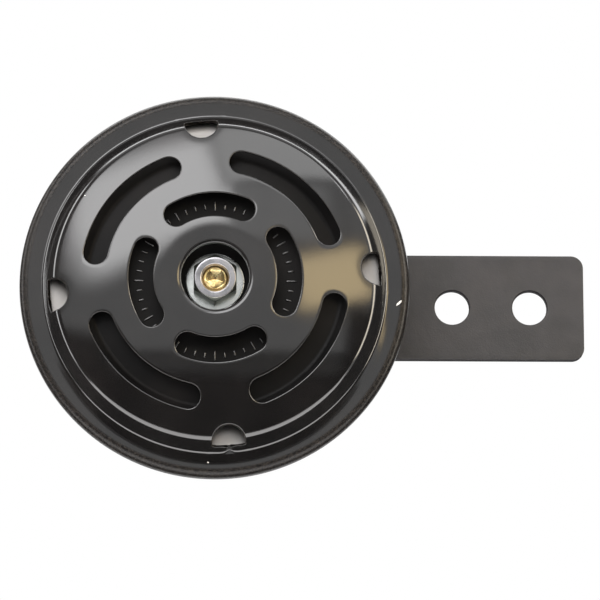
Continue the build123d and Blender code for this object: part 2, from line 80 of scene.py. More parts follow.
def along(run, lengths, count):
    # count + 1 points of a run, spaced evenly in the given lengths along it
    want = np.linspace(0, lengths[-1], count + 1)
    return pairs(np.interp(want, lengths, run[:, 0]), np.interp(want, lengths, run[:, 1]))


class Patches:
    # collects grid patches, each a function of two parameters, and welds them into one mesh
    def __init__(self):
        self.points, self.quads, self.marks = [], [], []
        self.count = 0

    def grid(self, pts, closed=True, mark=0.0):
        # pts has shape (rows, columns, 3); closed joins the last column to the first; mark is the
        # "edge" attribute of the whole patch, of each row or of each point
        rows, cols = pts.shape[:2]
        index = np.arange(rows * cols).reshape(rows, cols) + self.count
        if closed:
            index = np.concatenate([index, index[:, :1]], axis=1)
        quads = np.stack([index[:-1, :-1], index[:-1, 1:], index[1:, 1:], index[1:, :-1]], axis=-1)
        self.points.append(pts.reshape(-1, 3))
        self.quads.append(quads.reshape(-1, 4))
        self.marks.append(np.broadcast_to(mark, (rows, cols)).reshape(-1))
        self.count += rows * cols

    def piece(self, name, body, material, smoothAngle=None, weld=1e-7):
        mesh = bpy.data.meshes.new(name)
        mesh.from_pydata(toFrame(np.concatenate(self.points)).tolist(), [], np.concatenate(self.quads).tolist())
        edge = mesh.attributes.new("edge", "FLOAT", "POINT")
        edge.data.foreach_set("value", np.concatenate(self.marks).astype(np.float32))
        work = bmesh.new()
        work.from_mesh(mesh)
        bmesh.ops.remove_doubles(work, verts=work.verts, dist=weld)
        bmesh.ops.recalc_face_normals(work, faces=work.faces)
        work.to_mesh(mesh)
        loose = sum(1 for e in work.edges if not e.is_manifold)
        work.free()
        mesh.polygons.foreach_set("use_smooth", np.ones(len(mesh.polygons), bool))
        mesh.update()
        obj = linked(name, mesh)
        if smoothAngle is not None:
            mesh.set_sharp_from_angle(angle=math.radians(smoothAngle))
        mesh.materials.append(material)
        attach(obj, body)
        print("piece:", name, len(mesh.polygons), "faces, open edges", loose)
        return obj


def roundedLine(corners, arcStep=0.12):
    # a line through (r, z, bend radius) corners, each corner rounded by an arc of its radius,
    # sampled so that an arc has a point about every arcStep radians
    pts = [np.array(corners[0][:2], float)]
    for before, here, after in zip(corners[:-2], corners[1:-1], corners[2:]):
        p = np.array(here[:2], float)
        a = np.array(before[:2], float) - p
        b = np.array(after[:2], float) - p
        a /= np.linalg.norm(a)
        b /= np.linalg.norm(b)
        half = math.acos(np.clip(a @ b, -1, 1)) / 2
        if here[2] <= 0 or abs(half - math.pi / 2) < 1e-4:
            pts.append(p)
            continue
        reach = here[2] / math.tan(half)
        middle = p + (a + b) / np.linalg.norm(a + b) * here[2] / math.sin(half)
        start, end = p + a * reach - middle, p + b * reach - middle
        turn = math.atan2(start[0] * end[1] - start[1] * end[0], start @ end)
        t = np.linspace(0, turn, max(2, int(abs(turn) / arcStep)) + 1)
        x = start[0] * np.cos(t) - start[1] * np.sin(t)
        y = start[0] * np.sin(t) + start[1] * np.cos(t)
        pts.extend(middle + pairs(x, y))
    pts.append(np.array(corners[-1][:2], float))
    return np.array(pts)


def wrapped(r, a, z):
    # points at radius r, angle a and height z: x = r cos a, y = r sin a
    return np.stack(np.broadcast_arrays(r * np.cos(a), r * np.sin(a), z), axis=-1)


def turned(profile, angles):
    # an (r, z) profile carried round the axis
    return wrapped(profile[:, :1], angles, profile[:, 1:])


def stacked(rows, angles):
    # rows of (radius, height), each a number or one value per angle, carried round the axis
    r, z = (np.stack([np.broadcast_to(row[k], angles.shape) for row in rows]) for k in (0, 1))
    return wrapped(r, angles, z)


# ---------- the front grille: one pressed sheet, rolled round the rim ----------
grille = {
    "rim": 46.5, "sheet": 0.9,
    "bore": 8.0, "lipZ": 9.9, "crest": (8.8, 11.24), "crestBend": 2.1, "brow": (8.12, 10.9, 0.3),
    "flatHub": (10.0, 14.2, 0.85),  # the dome flattens from the outer radius in to the inner one
    "domeCentre": -106.657, "domeRadius": 118.546,
    "shoulder": (38.1, 5.6), "shoulderBend": 2.5,
    "foot": (40.9, 2.1), "footBend": 1.0,
    "fold": 2.0, "crimp": 1.4, "back": -2.9, "lipReach": 43.6, "lipRound": 0.25, "lipFlat": 1.0,
    "patternTurn": 5.0,  # degrees, where the first rim hole lies
    "innerSlots": (17.6, 2.9, 53.5 / 2),  # middle radius, half width, half sweep
    "outerSlots": (29.0, 2.9, 55.0 / 2),
    "rimHoles": (38.9, 3.95),  # middle radius, hole radius
    "sill": (39.65, 39.15),  # where the step closes a hole, at its front and its back
    "sillPull": (1.3, 0.75, 270.0),  # the foot drawn in under one hole: how far, how wide, where
    "torn": ((0.06, 5, 1.0), (0.035, 11, 2.1)),  # a hole's uneven edge: size, times round, phase
    "edgeRound": 0.28, "backRound": 0.12,  # paint-rounded edges of every opening, front and back
    "bands": (13.2, 23.0, 32.42, 41.95),  # where one ring of patches meets the next
    "fallAt": (41.2, 41.5, 42.0, 42.5, 43.0, 43.5, 44.0, 44.5),  # radii for the flange's fall
    "fall": (0.0, 0.07, 0.22, 0.35, 0.45, 0.53, 0.59, 0.62),  # how far it falls, in its lower half
    "lift": 0.1,  # and how far its outer side lifts in the upper half
    "holeDent": 0.035, "holeDentReach": 1.1,  # the punch drags the sheet down round a hole
    # the sheet's slow unevenness: size, times round, phase, pace outwards, phase outwards; then where it
    # fades in and out, and where the pull at a hole's foot does
    "waves": ((0.018, 3, 0.6, 0.16, 0.0), (0.012, 5, 2.1, 0.21, math.pi / 2)),
    "waveFades": ((11, 6), (41, -3)), "pullFades": ((39.4, 1.2), (41.9, -0.8)), "dentFade": (41.1, -1.2),
    "rimRub": (44.3, 0.35, 0.5),  # paint wears from this radius out, over this far, this much
    "flatEnd": (44.35, 9),  # where the flange's flat stops, and its points
    "holeBlock": (9.0, 12, 44),  # half angle of a hole's patch, columns across and along
    "slotRows": (7, 3), "holeRows": (20, 4),  # rows in from a patch's sides, front and back
    "columns": 240,
}


def grilleFront():
    # lip, crest bend, dome, shoulder bend, step, foot bend, flange, as (r, z) from bore to fold; the
    # dome is a sphere whose slope fades out round the hub
    g = grille
    domeR = np.linspace(g["crest"][0] + 1.3, g["shoulder"][0] - 0.9, 90)
    slope = -domeR / np.sqrt(g["domeRadius"] ** 2 - domeR ** 2)
    near, far, share = g["flatHub"]
    calm = fade(domeR, far, near - far)
    slope *= 1 - share * calm * calm * (3 - 2 * calm)
    fall = np.concatenate([[0], np.cumsum((slope[1:] + slope[:-1]) / 2 * np.diff(domeR))])
    domeZ = fall - fall[-1] + g["domeCentre"] + math.sqrt(g["domeRadius"] ** 2 - domeR[-1] ** 2)
    inner = roundedLine([(g["bore"], g["lipZ"], 0), g["brow"], (*g["crest"], g["crestBend"]),
                         (domeR[0], domeZ[0], 0)], 0.06)
    outer = roundedLine([(domeR[-1], domeZ[-1], 0), (*g["shoulder"], g["shoulderBend"]),
                         (*g["foot"], g["footBend"]), (g["bands"][3], g["foot"][1], 0)], 0.06)
    return np.concatenate([inner[:-1], pairs(domeR, domeZ), outer[1:]])


def offsetLine(line, distance):
    # every point of an (r, z) line moved by distance across the line, less any loop in a tight bend
    run = np.gradient(line, axis=0)
    run /= np.linalg.norm(run, axis=1, keepdims=True)
    moved = line + pairs(run[:, 1], -run[:, 0]) * distance
    gap = np.min(np.linalg.norm(moved[:, None] - line[None], axis=2), axis=1)
    return moved[gap > abs(distance) - 0.01]


def spreadByTurn(line, count, turnWeight):
    # count + 1 points along a line, spaced evenly in length plus turnWeight times the turn
    step = np.diff(line, axis=0)
    length = np.linalg.norm(step, axis=1)
    heading = np.unwrap(np.arctan2(step[:, 1], step[:, 0]))
    turn = np.abs(np.gradient(heading)) if len(heading) > 2 else np.zeros(len(heading))
    total = np.concatenate([[0], np.cumsum(length + turnWeight * turn)])
    return along(line, total, count)


frontLine = grilleFront()
backLine = offsetLine(frontLine, grille["sheet"])


def between(line, low, high, samples=400):
    # the stretch of an (r, z) line from radius low to radius high
    r = np.linspace(low, high, samples)
    return pairs(r, np.interp(r, line[:, 0], line[:, 1]))


def holeDistance(r, a):
    # distance from the edge of the nearest rim hole, a in radians from the first hole
    middle, radius = grille["rimHoles"]
    a = (a + math.pi / 4) % (math.pi / 2) - math.pi / 4
    return np.hypot(r * np.cos(a) - middle, r * np.sin(a)) - radius


def flangeFall(r, a):
    # the flange is not quite flat: it falls outwards along its lower half, lifts a little above
    g = grille
    up = np.sin(a + math.radians(g["patternTurn"]))
    low, high = np.clip(-1.15 * up, 0, 1), np.clip(up, 0, 1)
    out = fade(r, 42, 2.5)
    return np.interp(r, g["fallAt"], g["fall"]) * low * (2 - low) - g["lift"] * out * out * high


def sheetHeight(line, r, a):
    # height of a face of the sheet at (r, a), with the dent round each rim hole and the step's
    # foot drawn in under it
    g = grille
    pull, wide, where = g["sillPull"]
    off = (a - math.radians(where) + math.pi) % (2 * math.pi) - math.pi
    pull = pull * np.exp(-(r * off / wide) ** 2) * math.prod(fade(r, *ends) for ends in g["pullFades"])
    z = np.interp(r + pull, line[:, 0], line[:, 1])
    if line is frontLine:
        z = z - flangeFall(r, a)
    d = np.clip(holeDistance(r, a), 0, None)
    dent = g["holeDent"] * np.exp(-(d / g["holeDentReach"]) ** 2) * fade(r, *g["dentFade"])
    wave = sum(size * np.sin(times * a + phase) * np.sin(r * pace + start)
               for size, times, phase, pace, start in g["waves"])
    return z - dent + wave * math.prod(fade(r, *ends) for ends in g["waveFades"])


def slotOutline(slot, grow, alongCount, endCount):
    # closed outline of an arc slot in (r, a): inner side, end, outer side, end. grow widens it.
    middle, half, sweep = slot
    w, sweep = half + grow, math.radians(sweep)

    def side(sign):
        # one long side with an eighth turn of each end circle, in order of rising angle
        u = np.linspace(-1, 1, 400)
        arc = pairs(middle + sign * w, u * sweep)
        phi = np.linspace(math.pi / 4, math.pi / 2, 60)
        end = endCircle(sign * phi[:-1], 1)
        start = endCircle(sign * phi[:-1], -1)
        run = np.concatenate([start, arc, end[::-1]])
        return resample(run, alongCount)

    def endCircle(phi, which):
        x, y, a = middle + w * np.sin(phi), w * np.cos(phi) * which, which * sweep
        return pairs(np.hypot(x, y), np.arctan2(y, x) + a)

    inner, outer = side(-1), side(1)
    cap = np.linspace(-math.pi / 4, math.pi / 4, endCount + 1)
    rising, falling = endCircle(cap, 1), endCircle(cap[::-1], -1)
    return np.concatenate([inner[:-1], rising[:-1], outer[::-1][:-1], falling[:-1]])


def resample(run, count):
    # count + 1 points spaced evenly along a run of (r, a) points
    step = np.diff(wrapped(run[:, 0], run[:, 1], 0.0), axis=0)
    return along(run, np.concatenate([[0], np.cumsum(np.linalg.norm(step, axis=1))]), count)


def holeOutline(grow, depth, phase, corners, counts):
    # a round hole in (r, a), closed on the outside by the standing part of the step with a slightly
    # torn edge; its points are in step with a block's four sides, which run clockwise
    middle, radius = grille["rimHoles"]
    sill = grille["sill"][0] * (1 - depth) + grille["sill"][1] * depth + grow * 0.6
    parts = []
    for k in range(4):
        start, end = corners[k], corners[(k + 1) % 4]
        end = end - 2 * math.pi if end > start else end
        parts.append(np.linspace(start, end, counts[k] + 1)[:-1])
    phi = np.concatenate(parts)
    torn = sum(size * np.sin(times * phi + share * phase) for size, times, share in grille["torn"])
    toSill = np.sqrt(np.maximum((sill + torn) ** 2 - (middle * np.sin(phi)) ** 2, 0)) - middle * np.cos(phi)
    reach = ((radius + grow) ** -9.0 + np.maximum(toSill, 0.3) ** -9.0) ** (-1 / 9.0)
    x, y = middle + reach * np.cos(phi), reach * np.sin(phi)
    return pairs(np.hypot(x, y), np.arctan2(y, x))


def blockSides(low, high, halfAngle, stops, alongCount):
    # the four sides of a ring block in (r, a), in the order that the outlines use
    a = np.linspace(-halfAngle, halfAngle, alongCount + 1)
    sides = pairs(low, a), pairs(stops, halfAngle), pairs(high, a[::-1]), pairs(stops[::-1], -halfAngle)
    return np.concatenate([side[:-1] for side in sides])


def placed(polar, z, turn):
    # (r, a) points at height z, turned about the axis
    return wrapped(polar[..., 0], polar[..., 1] + turn, z)


def punchedBlock(patches, outlineOf, frontSides, backSides, turn, rowCounts, edgeMark=1.0):
    # front face, rounded edge, straight wall and back face of a block round one opening:
    # rows run from the block's sides in to the opening's outline, then down its wall
    e, b = grille["edgeRound"], grille["backRound"]
    shift = math.radians(grille["patternTurn"]) + turn
    rows, heights, marks = [], [], []

    def add(line, polar, mark, above=0.0):
        rows.append(polar)
        heights.append(sheetHeight(line, polar[..., 0], polar[..., 1] + turn) + above)
        marks.append(np.broadcast_to(mark, polar.shape[:2]))

    def spread(sides, outline, start, end, count):
        t = np.linspace(start, end, count + 1)[:, None, None]
        return sides[None] * t + outline[None] * (1 - t)

    wide, tight = outlineOf(e, 0), outlineOf(0, 0)
    add(frontLine, spread(frontSides, wide, 1, 0, rowCounts[0]), 0.0)
    rise = tight[:, 0] * np.sin(tight[:, 1] + shift) - wide[:, 0] * np.sin(wide[:, 1] + shift)
    lit = edgeMark * (0.6 + 0.4 * np.clip(1.6 * rise / e, 0, 1))  # an edge that faces up gets a higher mark and so more shine: a painted highlight where light from above falls
    for phi in np.arange(1, 5) * math.pi / 8:
        add(frontLine, outlineOf(e * (1 - math.sin(phi)), 0)[None], lit, -e * (1 - math.cos(phi)))
    add(backLine, outlineOf(0, 1)[None], 0.6, b)
    add(backLine, spread(backSides, outlineOf(b, 1), 0, 1, rowCounts[1]), 0.0)
    patches.grid(placed(np.concatenate(rows), np.concatenate(heights), shift), mark=np.concatenate(marks))


def surfaceOfRing(line, around, base):
    # like turned(), with the sheet's slight unevenness: the same height function as the bands
    r, a = np.meshgrid(line[:, 0], around, indexing="ij")
    wave = sheetHeight(frontLine, r, a) - np.interp(r, frontLine[:, 0], frontLine[:, 1])
    return placed(pairs(r, a), line[:, 1:] + wave, base)


def addHub(patches, around, base):
    # the lip and crest: back face, cut edge, front face
    b0 = grille["bands"][0]
    front, back = (np.concatenate([line[line[:, 0] < b0], between(line, b0, b0, 1)])
                   for line in (frontLine, backLine))
    cut = roundedLine([(*back[2], 0), (*back[0], 0.2), (*front[0], 0.28), (*front[2], 0)], 0.3)
    lip = np.concatenate([back[3:][::-1], cut, front[3:]])
    mark = np.concatenate([np.zeros(len(back) - 3), np.full(len(cut), 0.8), np.zeros(len(front) - 3)])
    patches.grid(surfaceOfRing(lip, around, base), mark=mark[:, None])


def addSlots(patches, quarter):
    # two rings of blocks with an arc slot in each
    b0, b1, b2, b3 = grille["bands"]
    eighth = math.pi / 4
    for slot, low, high, shift in (("innerSlots", b0, b1, 0.0), ("outerSlots", b1, b2, eighth)):
        sides = blockSides(low, high, eighth, np.linspace(low, high, 9), quarter)
        for k in range(4):
            punchedBlock(patches, lambda grow, depth: slotOutline(grille[slot], grow, quarter, 8),
                         sides, sides, shift + k * math.pi / 2, grille["slotRows"])


def addStep(patches, quarter, base):
    # blocks with a rim hole in each, and plain stretches between them, front and back
    b2, b3 = grille["bands"][2:]
    half, across, along = grille["holeBlock"]
    half = math.radians(half)
    stops = [spreadByTurn(between(line, b2, b3, 1200), along, 3.0)[:, 0] for line in (frontLine, backLine)]
    for run in stops:
        run[[0, -1]] = b2, b3
    middle = grille["rimHoles"][0]
    corners = [math.atan2(r * math.sin(a), r * math.cos(a) - middle)
               for r, a in ((b2, -half), (b2, half), (b3, half), (b3, -half))]
    corners[0] += 2 * math.pi
    sides = [blockSides(b2, b3, half, run, across) for run in stops]
    span = np.linspace(half, math.pi / 2 - half, quarter - across + 1)
    for k in range(4):
        punchedBlock(patches, lambda grow, depth: holeOutline(grow, depth, 1.7 * k, corners, (across, along) * 2),
                     *sides, k * math.pi / 2, grille["holeRows"], edgeMark=0.7)
        for line, run in zip((frontLine, backLine), stops):
            polar = pairs(run[:, None], span + k * math.pi / 2)
            patches.grid(placed(polar, sheetHeight(line, polar[..., 0], polar[..., 1]), base), closed=False)


def addRim(patches, around, base):
    # flange, fold, side, crimp and rolled lip, out along the front and back along the inside
    g = grille
    start, rim, t, face, back = g["bands"][3], g["rim"], g["sheet"], g["foot"][1], g["back"]
    lip, lipTop = g["lipReach"], g["back"] + g["sheet"]
    bend, end = g["lipRound"], (lip + g["lipFlat"], lipTop, 0)
    outer = roundedLine([(start, face, 0), (rim, face, g["fold"]), (rim, back, g["crimp"]),
                         (lip, back, bend), (lip, lipTop, bend), end], 0.09)
    inner = roundedLine([end, (rim - t, lipTop, g["crimp"] - t),
                         (rim - t, face - t, g["fold"] - t), (start, face - t, 0)], 0.25)
    flatEnd, count = g["flatEnd"]
    flat = pairs(np.linspace(start, flatEnd, count), face)
    run = np.concatenate([flat[:-1], outer[1:], inner[1:]])
    low, reach, rub = g["rimRub"]
    ring = turned(run, around + base)
    isFront = np.arange(len(run)) < len(flat) + len(outer) - 2
    share = fade(run[:, 1], -1.4, 1.5) * isFront  # the fold's side takes less of the fall
    ring[..., 2] -= flangeFall(run[:, :1], around[None]) * share[:, None]
    patches.grid(ring, mark=rub * fade(run[:, :1], low, reach))


def buildGrille(material):
    patches = Patches()
    around, base = circleAngles(grille["columns"]), math.radians(grille["patternTurn"])
    quarter = grille["columns"] // 4
    addHub(patches, around, base)
    addSlots(patches, quarter)
    addStep(patches, quarter, base)
    addRim(patches, around, base)
    return patches.piece("frontGrille", "horn_body", material, weld=2e-6)


# ---------- nodes, and the groups that several finishes share ----------
def setInputs(tree, n, inputs):
    # gives each input its value, or the socket that feeds it
    for key, value in inputs.items():
        if isinstance(value, bpy.types.NodeSocket):
            tree.links.new(value, n.inputs[key])
        else:
            n.inputs[key].default_value = value


def node(tree, kind, inputs=None, **settings):
    n = tree.nodes.new(kind)
    for key, value in settings.items():
        setattr(n, key, value)
    setInputs(tree, n, inputs or {})
    return n


def mathNode(tree, operation, *values, clamp=False):
    return node(tree, "ShaderNodeMath", dict(enumerate(values)), operation=operation, use_clamp=clamp).outputs[0]


def times(tree, a, b):
    return mathNode(tree, "MULTIPLY", a, b)


def plus(tree, a, b):
    return mathNode(tree, "ADD", a, b)


def ramp(tree, source, low, high, toLow=0.0, toHigh=1.0, smooth=True):
    inputs = {"Value": source, "From Min": low, "From Max": high, "To Min": toLow, "To Max": toHigh}
    kind = "SMOOTHSTEP" if smooth else "LINEAR"
    return node(tree, "ShaderNodeMapRange", inputs, interpolation_type=kind).outputs["Result"]


def mixColor(tree, factor, a, b):
    a, b = (c if isinstance(c, bpy.types.NodeSocket) else (*c, 1.0) for c in (a, b))
    return node(tree, "ShaderNodeMix", {0: factor, 6: a, 7: b}, data_type="RGBA").outputs[2]


def noise(tree, vector, scale, detail, rough):
    inputs = {"Vector": vector, "Scale": scale, "Detail": detail, "Roughness": rough}
    return node(tree, "ShaderNodeTexNoise", inputs).outputs["Fac"]


def makeGroup(name, inputs, outputs):
    # a node group with a vector input, the given number inputs and the given number outputs
    tree = bpy.data.node_groups.new(name, "ShaderNodeTree")
    tree.interface.new_socket(name="Vector", in_out="INPUT", socket_type="NodeSocketVector")
    for title, value in inputs.items():
        socket = tree.interface.new_socket(name=title, in_out="INPUT", socket_type="NodeSocketFloat")
        socket.default_value = value
    for title in outputs:
        tree.interface.new_socket(name=title, in_out="OUTPUT", socket_type="NodeSocketFloat")
    return tree, tree.nodes.new("NodeGroupInput").outputs, tree.nodes.new("NodeGroupOutput")


def dustGroup():
    # sparse pale specks and a thin uneven film, as masks
    tree, given, result = makeGroup("dustAndSpecks", {
        "Speck Scale": 260.0, "Speck Size": 0.06, "Speck Share": 0.12, "Film Scale": 60.0}, ("Specks", "Film"))
    cells = node(tree, "ShaderNodeTexVoronoi", {"Vector": given["Vector"], "Scale": given["Speck Scale"]}).outputs
    near = mathNode(tree, "LESS_THAN", cells["Distance"], given["Speck Size"])
    pick = node(tree, "ShaderNodeSeparateColor", {0: cells["Color"]})
    chosen = mathNode(tree, "LESS_THAN", pick.outputs[0], given["Speck Share"])
    film = noise(tree, given["Vector"], given["Film Scale"], 4.0, 0.6)
    setInputs(tree, result, {"Specks": times(tree, near, chosen), "Film": ramp(tree, film, 0.42, 0.72)})
    return tree


def surfaceGroup():
    # slow cloudy change and fine grain together: a mask for colour and roughness, and a height
    tree, given, result = makeGroup("cloudAndGrain", {
        "Cloud Scale": 40.0, "Grain Scale": 1500.0, "Grain Height": 1.0, "Peel Scale": 400.0, "Peel Height": 0.5},
        ("Cloud", "Grain", "Height"))
    cloud = noise(tree, given["Vector"], given["Cloud Scale"], 3.0, 0.55)
    grain = noise(tree, given["Vector"], given["Grain Scale"], 2.0, 0.6)
    peel = noise(tree, given["Vector"], given["Peel Scale"], 1.0, 0.4)
    height = plus(tree, times(tree, grain, given["Grain Height"]), times(tree, peel, given["Peel Height"]))
    setInputs(tree, result, {"Cloud": ramp(tree, cloud, 0.3, 0.7), "Grain": grain, "Height": height})
    return tree


def turnedGroup():
    # fine rings about the horn's axis, as a lathe or a drawing die leaves them
    tree, given, result = makeGroup("turnedRings", {"Pitch": 3000.0, "Break Up": 90.0}, ("Rings",))
    x, y, z = node(tree, "ShaderNodeSeparateXYZ", {0: given["Vector"]}).outputs
    square = plus(tree, times(tree, x, x), times(tree, z, z))
    radius = mathNode(tree, "SQRT", square)
    pitch = given["Pitch"]
    join = node(tree, "ShaderNodeCombineXYZ", {0: times(tree, radius, pitch), 1: times(tree, y, pitch)})
    lines = noise(tree, join.outputs[0], 1.0, 2.0, 0.7)
    soft = noise(tree, given["Vector"], given["Break Up"], 2.0, 0.5)
    rings = times(tree, lines, ramp(tree, soft, 0.3, 0.65, 0.5, 1.0))
    setInputs(tree, result, {"Rings": rings})
    return tree


groups = {"dust": dustGroup(), "surface": surfaceGroup(), "rings": turnedGroup()}


def axisVector(tree):
    # Object coordinates moved so that the horn's axis is at x = z = 0
    place = node(tree, "ShaderNodeTexCoord").outputs["Object"]
    shift = (-horn["axisX"] / 1000, -horn["backY"] / 1000, 0)
    return node(tree, "ShaderNodeMapping", {"Vector": place, "Location": shift}).outputs["Vector"]


def newMaterial(name):
    m = bpy.data.materials.new(name)
    m.use_nodes = True
    return m, m.node_tree, m.node_tree.nodes["Principled BSDF"]


def edgeMark(tree):
    return node(tree, "ShaderNodeAttribute", attribute_name="edge").outputs["Fac"]


def startFinish(name, s):
    # what every finish begins with: two tones mixed by a slow cloud, a thin film over them, a
    # roughness that follows the cloud, and grain and peel in the bump
    m, tree, shader = newMaterial(name)
    vector = axisVector(tree)
    surface = node(tree, "ShaderNodeGroup", node_tree=groups["surface"])
    setInputs(tree, surface, {"Vector": vector, "Cloud Scale": s["cloud"], "Grain Scale": s["grain"], "Grain Height":
                              s["grainHeight"], "Peel Scale": s["peel"], "Peel Height": s["peelHeight"]})
    dust = node(tree, "ShaderNodeGroup", node_tree=groups["dust"])
    setInputs(tree, dust, {"Vector": vector, "Film Scale": s.get("film", s["cloud"] * 2.2)})
    cloud = surface.outputs["Cloud"]
    color = mixColor(tree, cloud, *s["tones"])
    color = mixColor(tree, times(tree, dust.outputs["Film"], s["filmShare"]), color, s["filmColor"])
    rough = ramp(tree, cloud, 0, 1, *s["rough"], smooth=False)
    bump = node(tree, "ShaderNodeBump", {"Height": surface.outputs["Height"], "Strength": s["bump"],
                                         "Distance": s["bumpDistance"]})
    setInputs(tree, shader, {"Normal": bump.outputs[0]})
    return m, tree, shader, vector, surface, dust, color, rough, bump


def chipMask(tree, vector, chips):
    # one where a chip is: an ellipse about each chip's place, its rim broken up by noise; a chip is
    # its x and y in millimetres, its half length and half width, and its turn in degrees
    x, y, z = node(tree, "ShaderNodeSeparateXYZ", {0: vector}).outputs
    ragged = times(tree, noise(tree, vector, 2600.0, 2.0, 0.6), 0.9)
    total = None
    for chipX, chipY, along, across, turn in chips:
        dx = mathNode(tree, "SUBTRACT", x, chipX / 1000)
        dy = mathNode(tree, "SUBTRACT", z, chipY / 1000)
        c, n = (1000 * wave(math.radians(turn)) for wave in (math.cos, math.sin))
        p = plus(tree, times(tree, dx, c / along), times(tree, dy, n / along))
        q = mathNode(tree, "SUBTRACT", times(tree, dy, c / across), times(tree, dx, n / across))
        away = plus(tree, times(tree, p, p), times(tree, q, q))
        mask = ramp(tree, plus(tree, away, ragged), 1.0, 1.6, 1.0, 0.0)
        total = mask if total is None else mathNode(tree, "MAXIMUM", total, mask)
    return times(tree, total, mathNode(tree, "LESS_THAN", y, -0.0015))  # on the front only


def paintedSteel(name, s):
    # stoved paint on pressed steel: the shared start with sparse dust specks; where "edge" is high the
    # specular level is set by edgeGloss (on the grille a painted highlight on the edges that face up), where it is
    # middling the fold is rough and speckled; bare bright metal in the chips
    m, tree, shader, vector, surface, dust, color, rough, bump = startFinish(name, s)
    setInputs(tree, dust, dict(zip(("Speck Scale", "Speck Size", "Speck Share"), s["specks"])))
    specks, grain = dust.outputs["Specks"], surface.outputs["Grain"]
    color = mixColor(tree, specks, color, s["speckColor"])
    rough = mathNode(tree, "ADD", rough, times(tree, specks, 0.4), clamp=True)
    shader.inputs["IOR"].default_value = s["ior"]
    # edgeGloss sets the specular level on marked edges: on the grille it is a painted highlight on edges that face
    # up
    if "edgeGloss" in s:
        edge = edgeMark(tree)
        setInputs(tree, shader, {"Specular IOR Level": ramp(tree, edge, 0.62, 0.95, 0.5, s["edgeGloss"])})
    if "foldRough" in s:
        fold = times(tree, ramp(tree, edge, 0.05, 0.45), ramp(tree, edge, 0.55, 0.65, 1.0, 0.0))
        rough = ramp(tree, fold, 0, 1, rough, s["foldRough"], smooth=False)
        speckle = times(tree, fold, ramp(tree, grain, 0.42, 0.62))
        color = mixColor(tree, speckle, color, s["foldColor"])
        color = mixColor(tree, chipMask(tree, vector, s["chips"]), color, s["chipColor"])
        setInputs(tree, shader, {"IOR": ramp(tree, fold, 0, 1, s["ior"], s["foldIor"], smooth=False)})
        setInputs(tree, bump, {"Strength": ramp(tree, fold, 0, 1, s["bump"], s["foldBump"], smooth=False)})
    setInputs(tree, shader, {"Base Color": color, "Roughness": rough})
    return m


def plainMetal(name, s):
    # bare or plated metal: the shared start, with turned rings added to the bump where it has them,
    # and, by "edge", other tones on a nut's thread and sides and a near-black painted shade on its chamfer
    m, tree, shader, vector, surface, dust, color, rough, bump = startFinish(name, s)
    if "rings" in s:
        rings = node(tree, "ShaderNodeGroup", node_tree=groups["rings"])
        setInputs(tree, rings, {"Vector": vector, "Pitch": s["rings"]})
        height = plus(tree, surface.outputs["Height"], rings.outputs["Rings"])
        setInputs(tree, bump, {"Height": height})
    if "sideColor" in s:
        edge = edgeMark(tree)
        color = mixColor(tree, ramp(tree, edge, 0.15, 0.35), color, s["threadColor"])
        color = mixColor(tree, ramp(tree, edge, 0.5, 0.65), color, s["sideColor"])
        # the chamfer's near-black tone is painted shade, not the plating's own colour
        color = mixColor(tree, ramp(tree, edge, 0.8, 0.95), color, s["chamferPaintedShade"])
        rough = ramp(tree, ramp(tree, edge, 0.15, 0.35), 0, 1, rough, s["sideRough"], smooth=False)
    setInputs(tree, shader, {"Base Color": color, "Roughness": rough, "Metallic": 1.0})
    return m


